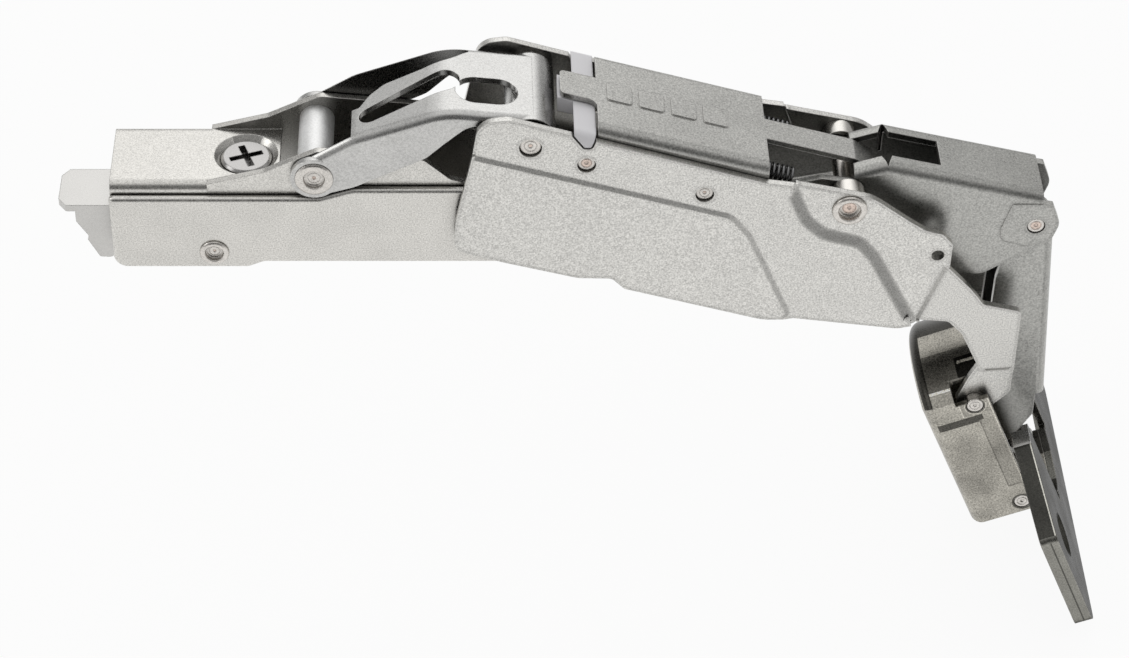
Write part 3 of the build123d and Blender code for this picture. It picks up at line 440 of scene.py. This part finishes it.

# %% [markdown]
# ## Satin nickel
# Now the finish itself. Every sheet piece of the hinge is plated, but each comes out a little different.
# Each could have a material built from scratch. One helper builds the metal instead, and each piece says
# only what is its own. The speckle, the stains and the painted shade and highlights above are multiplied into
# the plate's colour, and the fine noise also varies the roughness and dents the surface with a tiny bump.

# %% Satin nickel
DENT_DETAIL, DENT_ROUGHNESS = 3, 0.6
STAIN_DETAIL = 4
STAIN_GAIN = 0.3  # a stain's bright side, as a share of its dark side
ROUGH_BY_DENTS, ROUGH_BY_STAINS = 0.05, 0.04
DENT_STRENGTH = 0.5
DENT_DEPTH = 0.006 * MM


def satin_nickel(name, colour, rough=0.34, speckle=0.10, stains=0.10, edge=0.25, grain=0.27, gap_shade=0.55,
                 gap_shade_reach=4.0, slope=1.0, marks=(), grazing=1.0):
    """Plated steel. grain is its speckle's size in mm, edge how far its edges are rubbed and painted bright
    as a highlight, slope how bright the painted shade is where the sheet is pressed askew, and grazing how
    much is left of its glare when it is seen edge-on."""
    material, tree = new_material(name)
    where = add(tree, "ShaderNodeTexCoord").outputs
    dents = noise(tree, where["Object"], 1 / (grain * MM), DENT_DETAIL, DENT_ROUGHNESS)
    clouds = noise(tree, where["Object"], STAIN_SCALE, STAIN_DETAIL)
    rounded = rounded_normal(tree, EDGE_RADIUS, EDGE_SAMPLES)

    light = calculated(tree, "MULTIPLY", spread(tree, dents, 1 - speckle, 1 + speckle),
                       spread(tree, clouds, 1 - stains, 1 + stains * STAIN_GAIN))
    # Painted shade in narrow gaps, darker where Ambient Occlusion finds little open space.
    light = calculated(tree, "MULTIPLY", light, painted_gap_shade(tree, gap_shade, gap_shade_reach))
    if slope < 1:
        # Painted shade on the slopes, for the darker room that they mirror.
        light = calculated(tree, "MULTIPLY", light, pressed_slopes(tree, slope))
    if marks:
        # Marks: mostly painted shade and painted highlights, a few the piece's own colour.
        light = calculated(tree, "MULTIPLY", light, marked(tree, where, marks))
    plate = add(tree, "ShaderNodeVectorMath", {0: colour, "Scale": light}, operation="SCALE").outputs[0]
    # Rubbed edges: worn bright plating, and also a painted highlight along every edge.
    rubbed_and_highlit = calculated(tree, "MULTIPLY", rubbed_and_highlit_edges(tree, rounded), edge)
    worn_and_highlit = add(tree, "ShaderNodeMix", {"Factor": rubbed_and_highlit, "A": plate, "B": RUBBED_AND_HIGHLIT_COLOUR}, data_type="RGBA")

    roughness = calculated(tree, "ADD", spread(tree, dents, rough - ROUGH_BY_DENTS, rough + ROUGH_BY_DENTS),
                           spread(tree, clouds, -ROUGH_BY_STAINS, ROUGH_BY_STAINS))
    bump = add(tree, "ShaderNodeBump", {"Strength": DENT_STRENGTH, "Distance": DENT_DEPTH, "Height": dents,
                                        "Normal": rounded})
    metal = add(tree, "ShaderNodeBsdfPrincipled", {
        "Metallic": 1, "Specular Tint": (grazing, grazing, grazing, 1), "Base Color": worn_and_highlit.outputs["Result"],
        "Roughness": roughness, "Normal": bump.outputs["Normal"]})
    add(tree, "ShaderNodeOutputMaterial", {"Surface": metal.outputs[0]})
    return material


print("deepest dent mm:", DENT_DEPTH / MM)

# %% [markdown]
# ## Housing and lever
# The housing clips over the mounting plate on the cabinet, and the adjusting channel tilts inside it. Both
# are pale, with a clear speckle and rubbed edges that also carry a painted highlight. The lever that releases
# the clip is pressed from smoother strip. A folded sheet's inner faces get little light. Lamps can't be kept
# off them from every side, so a patch of painted shade darkens those faces, and a lighter one the upward
# faces.

# %% Housing and lever
def finish(material, *names):
    """Gives these CAD nodes one finish, in their own material slots."""
    for name in names:
        for slot in nodes[name].material_slots:
            slot.material = material
    print(material.name, "on", ", ".join(names))


# Painted shade on the inner faces, and a lighter painted shade on the upward faces.
housing_nickel = satin_nickel("housing_nickel", (0.68, 0.665, 0.63), rough=0.30, speckle=0.30, grain=0.23,
                              edge=0.4, gap_shade=0.4, marks=[patch("inside", 0.55), patch("top", 0.9)])
finish(housing_nickel, "arm_housing", "adjusting_channel")
lever_nickel = satin_nickel("lever_nickel", (0.60, 0.59, 0.57), rough=0.30, speckle=0.08)
finish(lever_nickel, "release_lever")

# %% [markdown]
# ## Fork link and side plates
# The fork link swings the plates out from the housing. Its sheet is smooth, and as it lies deep between its
# neighbours, painted gap shade is heavy in it. The side plates have a strong speckle, and the darkest painted
# shade on the slopes between their levels. Both get painted shade on their inner faces. One finish for both
# would hide where one sheet ends and the next begins.

# %% Fork link and side plates
# Heavy painted gap shade, and painted shade on the inner faces.
fork_nickel = satin_nickel("fork_nickel", (0.57, 0.565, 0.55), rough=0.26, speckle=0.2, edge=0.5,
                           gap_shade=0.8, gap_shade_reach=7.0, marks=[patch("inside", 0.5)])
finish(fork_nickel, "rear_fork_link")
# Painted shade on the slopes between levels and on the inner faces.
plate_nickel = satin_nickel("plate_nickel", (0.68, 0.67, 0.64), rough=0.36, speckle=0.36, stains=0.06,
                            slope=0.42, edge=0.45, grain=0.23, marks=[patch("inside", 0.6)])
finish(plate_nickel, "side_plate_near", "side_plate_far")

# %% [markdown]
# ## Cover and front links
# The cover channel joins the two plates over the damper, and the upper channel and the front link turn the
# cup. All three are darker than the plates. They could share one finish, but the last two are darker still.
# Painted gap shade reaches less far than on the other sheets, so it stays in the folds and leaves the broad
# webs untouched. Painted shade also darkens the slopes of their bends, and the inner faces of the last two.

# %% Cover and front links
# Painted shade in gaps and on the slopes of the bends.
cover_nickel = satin_nickel("cover_nickel", (0.54, 0.535, 0.51), speckle=0.36, edge=0.4, gap_shade_reach=3.0,
                            slope=0.6)
finish(cover_nickel, "cover_channel")
# Painted shade in gaps, on the slopes of the bends and on the inner faces.
front_nickel = satin_nickel("front_nickel", (0.45, 0.447, 0.425), speckle=0.34, gap_shade_reach=3.0, slope=0.6,
                            marks=[patch("inside", 0.4)])
finish(front_nickel, "upper_front_channel", "front_link")

# %% [markdown]
# ## Cup
# The cup's plating is darker and blotched. Its flat end has dark plastic, and painted shade and highlights
# for a window and bright bent rims. Its side walls have painted shade and highlights for a squared recess
# with a ring at the pivot, a dark step next to it, a long shallow recess, and fine lines under the flange.
# They could be pieces of their own, but are too thin to stand out, so they are marks on one finish. Limits
# that lie beyond the cup stand for its own edge.

# %% Cup
PAST_END, PAST_RIM = 20, 5  # mm
RECESS, LONG_RECESS = (-3.5, 1.7), (3.2, 19.5)  # mm along
RECESS_HEIGHT, LONG_HEIGHT = (-2.4, 1.8), (-0.3, 2.0)  # mm above
LOWER_PIN = {"along": 23.8, "above": 0.8}  # mm

# The end: dark plastic, then painted shade and painted highlights for the window and the bent rims.
END_PLASTIC_SHADE_AND_HIGHLIGHTS = [
    patch("end", 0.16, across=(3.2, PAST_END)),
    patch("end", 0.45, across=(-8.4, -1.9)),
    patch("end", 0.06, across=(-7.5, -3.7), above=(-1.25, PAST_RIM)),
    patch("end", 2.2, across=(-4.9, -4.4), above=(-0.9, PAST_RIM)),
    patch("end", 0.14, across=(-PAST_END, PAST_END), above=(-PAST_END, -6.4)),
    patch("end", 2.4, across=(-8.75, -8.35), above=(-6.4, PAST_RIM))]
# The side walls: painted shade and painted highlights for the recesses, the step, the lines and the rings.
WALL_SHADE_AND_HIGHLIGHTS = [
    patch("wall", 0.22, along=(2.0, 3.5), above=(-9, 0.5)),
    patch("wall", 0.8, along=RECESS, above=RECESS_HEIGHT),
    patch("wall", 0.35, along=(RECESS[0], -2.6), above=RECESS_HEIGHT),
    patch("wall", 1.5, along=RECESS, above=(-2.55, -2.35)),
    patch("wall", 0.82, along=LONG_RECESS, above=LONG_HEIGHT),
    patch("wall", 0.5, along=LONG_RECESS, above=(-0.35, -0.15)),
    patch("wall", 0.5, along=(19.3, 19.6), above=LONG_HEIGHT),
    patch("wall", 1.7, above=(2.2, 2.45)),
    patch("wall", 0.4, above=(2.6, 2.8)),
    ring(0.3, inner=1.35, outer=1.6),
    ring(1.3, inner=1.6, outer=1.8),
    ring(0.3, inner=1.35, outer=1.75, **LOWER_PIN)]
cup_nickel = satin_nickel("cup_nickel", (0.46, 0.44, 0.39), rough=0.30, speckle=0.5, stains=0.4,
                          marks=END_PLASTIC_SHADE_AND_HIGHLIGHTS + WALL_SHADE_AND_HIGHLIGHTS)
finish(cup_nickel, "cup_shell")

# %% [markdown]
# ## Flange
# The flange is screwed to the door. It is the darkest sheet, and its broad face is seen almost edge-on, where
# metal glares white. More roughness would only spread that glare, so Specular Tint takes most of it away.
# Painted shade darkens the rim and the ears, and a painted highlight brightens the end. A painted bright line
# follows the ears' edge, and a painted dark line stands for a groove along the narrow side, which is painted
# a little lighter.

# %% Flange
EAR_REACH = (-28.2, 28.2)  # mm across
EAR_EDGE, GROOVE = (6.1, 6.3), (5.0, 5.25)  # mm above

# Painted shade and painted highlights: the end, the rim, the ears, their edge line, the narrow side and its
# groove.
flange_shade_and_highlights = [
    patch("end", 7.0, along=(-PAST_END, 9)),
    patch("rim", 0.35),
    patch("ear", 0.3, across=EAR_REACH),
    patch("ear", 3.5, along=(-PAST_END, 17), across=EAR_REACH, above=EAR_EDGE),
    patch("wall", 1.15),
    patch("wall", 0.45, above=GROOVE)]
flange_nickel = satin_nickel("flange_nickel", (0.26, 0.255, 0.23), rough=0.26, speckle=0.30, stains=0.3,
                             marks=flange_shade_and_highlights, grazing=0.35)
finish(flange_nickel, "mounting_flange")

# %% [markdown]
# ## Sleeve, pins, screw and spring wire
# The small round pieces have little speckle. The rear sleeve is matt and nearly white, the pins are smooth,
# the screw is greyer and the spring wire is dark. They could share one steel, but they lie side by side, and
# each keeps its own tone.

# %% Sleeve, pins, screw and spring wire
sleeve_steel = satin_nickel("sleeve_steel", (0.95, 0.95, 0.94), rough=0.55, gap_shade=0.2)
finish(sleeve_steel, "rear_pivot_sleeve")
pin_steel = satin_nickel("pin_steel", (0.68, 0.66, 0.62), rough=0.24, speckle=0.06, gap_shade=0.5,
                         gap_shade_reach=2.0)
finish(pin_steel, "nose_pivot_pin", "fork_bush", "fork_washers", "damper_rod", "scissor_bushes",
       "cup_spring_bar")
screw_steel = satin_nickel("screw_steel", (0.44, 0.43, 0.42), rough=0.24, edge=0.6)
finish(screw_steel, "side_adjust_screw")
spring_steel = satin_nickel("spring_steel", (0.22, 0.22, 0.22), rough=0.25)
finish(spring_steel, "lever_spring")

# %% [markdown]
# ## Moulded plastic
# The damper's pale switch and its black cylinder are injection moulded, with a fine matt skin. A plain
# colour would look like paint. A very fine noise varies it slightly and dents it, and a Bevel node rounds the
# edges, which moulds never leave sharp.

# %% Moulded plastic
SKIN_SCALE = 5000  # per metre
SKIN_DEPTH = 0.01 * MM
SKIN_STRENGTH = 0.4
SKIN_SHADE = 0.93  # brightness in the pits
MOULD_RADIUS = 0.3 * MM
MATT_ROUGHNESS = 0.42


def moulded_plastic(name, colour):
    """Matt injection moulding with a fine skin."""
    material, tree = new_material(name)
    skin = noise(tree, add(tree, "ShaderNodeTexCoord").outputs["Object"], SKIN_SCALE)
    rounded = rounded_normal(tree, MOULD_RADIUS, EDGE_SAMPLES)
    bump = add(tree, "ShaderNodeBump", {"Strength": SKIN_STRENGTH, "Distance": SKIN_DEPTH, "Height": skin,
                                        "Normal": rounded})
    pits = [part * SKIN_SHADE for part in colour]
    tint = add(tree, "ShaderNodeMix", {"Factor": skin, "A": (*pits, 1), "B": (*colour, 1)}, data_type="RGBA")
    plastic = add(tree, "ShaderNodeBsdfPrincipled", {
        "Roughness": MATT_ROUGHNESS, "Base Color": tint.outputs["Result"], "Normal": bump.outputs["Normal"]})
    add(tree, "ShaderNodeOutputMaterial", {"Surface": plastic.outputs[0]})
    return material


finish(moulded_plastic("switch_plastic", (0.90, 0.89, 0.91)), "damper_slider")
finish(moulded_plastic("damper_plastic", (0.03, 0.03, 0.032)), "damper_cylinder")

# %% [markdown]
# ## Profiles of the rivets
# CAD keeps the rivets as plain pins with low heads. A real one is pressed by a die, which leaves a dimple in
# the middle and a groove with a ring round it. Most end a little below the plate in their hole, so that the
# hole's wall throws a crescent of shade on them, and three have a rolled head round a hole. They could be
# built from stacked cylinders, but a turned shape is fully told by its profile.

# %% Profiles of the rivets
# Each point: share of the radius, height in mm over the flat.
PRESSED_FACE = ((0, -0.16), (0.16, -0.14), (0.24, 0), (0.52, 0), (0.57, -0.09), (0.63, 0), (0.90, 0.02),
                (0.98, -0.08))
HOLE_FLOOR = ((0, -0.14), (0.12, -0.12), (0.2, 0), (0.55, 0), (0.6, -0.07), (0.66, 0), (0.93, 0),
              (0.98, 0.1))
INNER_ROLL = (0.14, 0.12)  # mm outwards, mm up
OUTER_ROLL = ((0.36, 0.0), (0.1, 0.16))  # mm inside the head's edge, mm under its top
WIDEST_AT = 0.35  # share of the head's height
UNDERCUT = 0.06  # mm


def sunk(radius, depth=0.50):
    """Profile of a rivet that ends below its plate: radius and height in mm, from the middle outwards."""
    return [(share * radius, height - depth) for share, height in PRESSED_FACE]


def headed(shank, hole, head, height, depth=0.25):
    """Profile of a rivet with a rolled head round a hole: three radii, a height and the hole's depth."""
    floor_of_hole = [(share * hole, rise - depth) for share, rise in HOLE_FLOOR]
    inner_roll = [(hole, height - INNER_ROLL[1]), (hole + INNER_ROLL[0], height)]
    outer_roll = [(head - inset, height - drop) for inset, drop in OUTER_ROLL]
    return floor_of_hole + inner_roll + outer_roll + [
        (head, height * WIDEST_AT), (head - UNDERCUT, 0.0), (shank, 0.0)]


print("profile points:", len(sunk(1)), "sunk,", len(headed(1, 1, 2, 1)), "headed")

# %% [markdown]
# ## Rivet finishes
# The die rubs the nickel away in a rivet's middle, where a warmer layer shows. A round mark in one finish
# could show it, but would need each rivet's centre, so there are two finishes. Their painted gap shade
# reaches only about a millimetre, so that it stays in the pressed grooves and the gap round the rivet.

# %% Rivet finishes
rivet_steel = satin_nickel("rivet_steel", (0.70, 0.67, 0.63), rough=0.26, speckle=0.2, gap_shade=0.5,
                           gap_shade_reach=1.2)
rivet_copper = satin_nickel("rivet_copper", (0.70, 0.58, 0.51), rough=0.30, speckle=0.3, gap_shade=0.5,
                            gap_shade_reach=1.2)
print("rivet finishes:", rivet_steel.name, rivet_copper.name)

# %% [markdown]
# ## A lathe
# A profile goes round the pivot in 64 steps, which is round enough for a rivet of 3 mm. A Screw modifier
# could do the turning. A loop is used because the faces near the middle get the second finish. Where a line
# starts or ends at radius 0, its ring shrinks to one point, so the pole is closed.

# %% A lathe
LATHE_STEPS = 64


def pivot_of(node):
    """Side-view centre of a round CAD node."""
    low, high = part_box(node)
    return (low[0] + high[0]) / 2, (low[2] + high[2]) / 2


def lathe(name, lines, centre, tint_radius):
    """A mesh of lines of (radius, y), turned about centre. Faces within tint_radius get the copper finish."""
    verts, faces, tints = [], [], []
    for line in lines:
        rings = []
        for radius, y in line:
            steps = LATHE_STEPS if radius > 0 else 1
            rings.append(range(len(verts), len(verts) + steps))
            for step in range(steps):
                turn = 2 * math.pi * step / LATHE_STEPS
                verts.append((centre[0] + radius * math.cos(turn), y, centre[1] + radius * math.sin(turn)))
        for number, (a, b) in enumerate(zip(rings, rings[1:])):
            width = max(line[number][0], line[number + 1][0])
            for step in range(LATHE_STEPS):
                after = (step + 1) % LATHE_STEPS
                corners = [a[step % len(a)], b[step % len(b)], b[after % len(b)], a[after % len(a)]]
                faces.append(tuple(dict.fromkeys(corners)))
                tints.append(1 if width <= tint_radius else 0)
    mesh = bpy.data.meshes.new(name)
    mesh.from_pydata(verts, [], faces)
    mesh.materials.append(rivet_steel)
    mesh.materials.append(rivet_copper)
    mesh.polygons.foreach_set("material_index", tints)
    mesh.update()
    return mesh


print("scissor pivot at mm:", [round(value / MM, 1) for value in pivot_of("scissor_pivot_pin")])

# %% [markdown]
# ## Turned rivets
# Nine pins and rivets are turned. Each takes its place from the CAD node that it stands for, and rides on the
# body that this node belongs to. They could be copies of one rivet, but their diameters and heads differ.
# Heights are counted from the outer face of the sheet that a rivet sits in.

# %% Turned rivets
# Distance of each sheet's outer face from the middle plane, in mm.
HOUSING_FACE = 8.5
BAND_FACE = 10.4
PIVOT_FACE = 9.8
LINK_FACE = 5.75
CUP_FACE = 10.5


def turned(name, node, body, face, profile, tint_radius, inner=None):
    """A pin turned about its CAD node's axis, sizes in mm. It runs through to the far side of the hinge, or,
    where inner is given, it is two pins that end at that distance from the middle plane."""
    near = [(radius * MM, -(face + height) * MM) for radius, height in profile]
    if inner is None:
        lines = [near + [(radius, -y) for radius, y in reversed(near)]]
    else:
        near += [(near[-1][0], -inner * MM), (0, -inner * MM)]
        lines = [near, [(radius, -y) for radius, y in reversed(near)]]
    piece = bpy.data.objects.new(name, lathe(name, lines, pivot_of(node), tint_radius * MM))
    bpy.context.scene.collection.objects.link(piece)
    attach(piece, body)
    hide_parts(node)
    print(name, "stands for", node, "on", body)


turned("fork_rivet", "fork_pivot_pin", "plates", BAND_FACE, sunk(1.68), tint_radius=0.4)
turned("rear_band_rivet", "rear_cross_rivet", "plates", BAND_FACE, sunk(1.38), tint_radius=0.9)
turned("front_band_rivet", "front_cross_rivet", "plates", BAND_FACE, sunk(1.38), tint_radius=0.3)
turned("scissor_rivet", "scissor_pivot_pin", "plates", PIVOT_FACE,
       headed(shank=1.7, hole=1.7, head=2.65, height=0.6, depth=0.4), tint_radius=1.4)
turned("clip_rivet_turned", "clip_rivet", "arm", HOUSING_FACE,
       headed(shank=1.7, hole=1.4, head=2.25, height=0.5), tint_radius=0.2)
turned("rear_rivet_turned", "rear_pivot_pin", "channel", HOUSING_FACE,
       headed(shank=1.7, hole=1.6, head=2.9, height=0.34), tint_radius=0.5)
turned("link_rivet_turned", "link_pivot_rivets", "upper", LINK_FACE, sunk(1.38, depth=0.22), tint_radius=0.9,
       inner=4.6)
turned("cup_rivet_turned", "cup_pivot_pins", "cup", CUP_FACE, sunk(1.38, depth=0.12), tint_radius=0.0,
       inner=7.6)
turned("cup_link_rivet", "cup_link_pin", "cup", CUP_FACE, sunk(1.38, depth=0.08), tint_radius=0.0)

# %% [markdown]
# ## A coil spring tree
# A closing spring lies beside the damper on each side. CAD keeps a few fat turns for the simulation. The
# many thin ones could be an array of one turn, which leaves seams. Geometry Nodes wind them from their sizes:
# a spiral, a round wire along it, and one copy for every point of the mesh that holds the tree. The copies
# are made real at the end, and get their material there, because an export would drop mere instances.

# %% Coil spring tree
TURN_STEPS = 24
WIRE_STEPS = 10


def coil_tree(material):
    """A tree that winds a coil on every point of its mesh, and the identifier of each of its sizes."""
    tree = bpy.data.node_groups.new("coil_spring", "GeometryNodeTree")
    sockets = {}
    tree.interface.new_socket("Geometry", in_out="INPUT", socket_type="NodeSocketGeometry")
    for label in ("Turns", "Coil Radius", "Wire Radius", "Length", "Lean"):
        socket = tree.interface.new_socket(label, in_out="INPUT", socket_type="NodeSocketFloat")
        sockets[label] = socket.identifier
    tree.interface.new_socket("Geometry", in_out="OUTPUT", socket_type="NodeSocketGeometry")
    sizes = add(tree, "NodeGroupInput").outputs
    spiral = add(tree, "GeometryNodeCurveSpiral", {
        "Resolution": TURN_STEPS, "Rotations": sizes["Turns"], "Start Radius": sizes["Coil Radius"],
        "End Radius": sizes["Coil Radius"], "Height": sizes["Length"]})
    wire = add(tree, "GeometryNodeCurvePrimitiveCircle", {
        "Resolution": WIRE_STEPS, "Radius": sizes["Wire Radius"]})
    coil = add(tree, "GeometryNodeCurveToMesh", {
        "Curve": spiral.outputs[0], "Profile Curve": wire.outputs[0], "Fill Caps": True})
    lean = add(tree, "ShaderNodeCombineXYZ", {"Y": sizes["Lean"]})
    copies = add(tree, "GeometryNodeInstanceOnPoints", {
        "Points": sizes["Geometry"], "Instance": coil.outputs[0], "Rotation": lean.outputs[0]})
    real = add(tree, "GeometryNodeRealizeInstances", {0: copies.outputs[0]})
    plated = add(tree, "GeometryNodeSetMaterial", {"Geometry": real.outputs[0], "Material": material})
    add(tree, "NodeGroupOutput", {0: plated.outputs[0]})
    return tree, sockets


spring_tree, spring_sockets = coil_tree(spring_steel)
print("coil tree sizes:", list(spring_sockets))

# %% [markdown]
# ## Closing springs
# The mesh that holds the tree has just two points, the rear ends of the two springs, taken from the CAD box
# of the pair. A modifier's sizes are set by each socket's identifier, because its name alone isn't found.
# The result is kept as a plain mesh, so the modifier and its holder go before the coils join the hinge.

# %% Closing springs
COVER_SLOPE = -0.29  # rise over run of the cover, which the springs lie under
COIL_OUTER = 1.6 * MM
COIL_WIRE = 0.24 * MM
COIL_LENGTH = 11.2 * MM
COIL_TURNS = 15.0


def wind(name, starts, sizes, body, node):
    """A plain mesh of one coil from each start, riding on a body and standing for a CAD node."""
    points = bpy.data.meshes.new(name + "_starts")
    points.from_pydata(starts, [], [])
    holder = bpy.data.objects.new(name + "_holder", points)
    bpy.context.scene.collection.objects.link(holder)
    modifier = holder.modifiers.new("wind", "NODES")
    modifier.node_group = spring_tree
    for label, value in sizes.items():
        modifier[spring_sockets[label]] = value
    bpy.context.view_layer.update()
    shaped = holder.evaluated_get(bpy.context.evaluated_depsgraph_get())
    mesh = bpy.data.meshes.new_from_object(shaped)
    bpy.data.objects.remove(holder)
    for face in mesh.polygons:
        face.use_smooth = True
    piece = bpy.data.objects.new(name, mesh)
    bpy.context.scene.collection.objects.link(piece)
    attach(piece, body)
    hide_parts(node)
    return piece


low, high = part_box("closing_springs")
rear_ends = [(low[0] + COIL_OUTER / 2, side * (high[1] - COIL_OUTER), high[2] - COIL_OUTER)
             for side in (-1, 1)]
coil_sizes = {"Turns": COIL_TURNS, "Coil Radius": COIL_OUTER - COIL_WIRE, "Wire Radius": COIL_WIRE,
              "Length": COIL_LENGTH, "Lean": math.atan2(1, COVER_SLOPE)}
coils = wind("closing_coils", rear_ends, coil_sizes, "plates", "closing_springs")
print("coil faces:", len(coils.data.polygons))
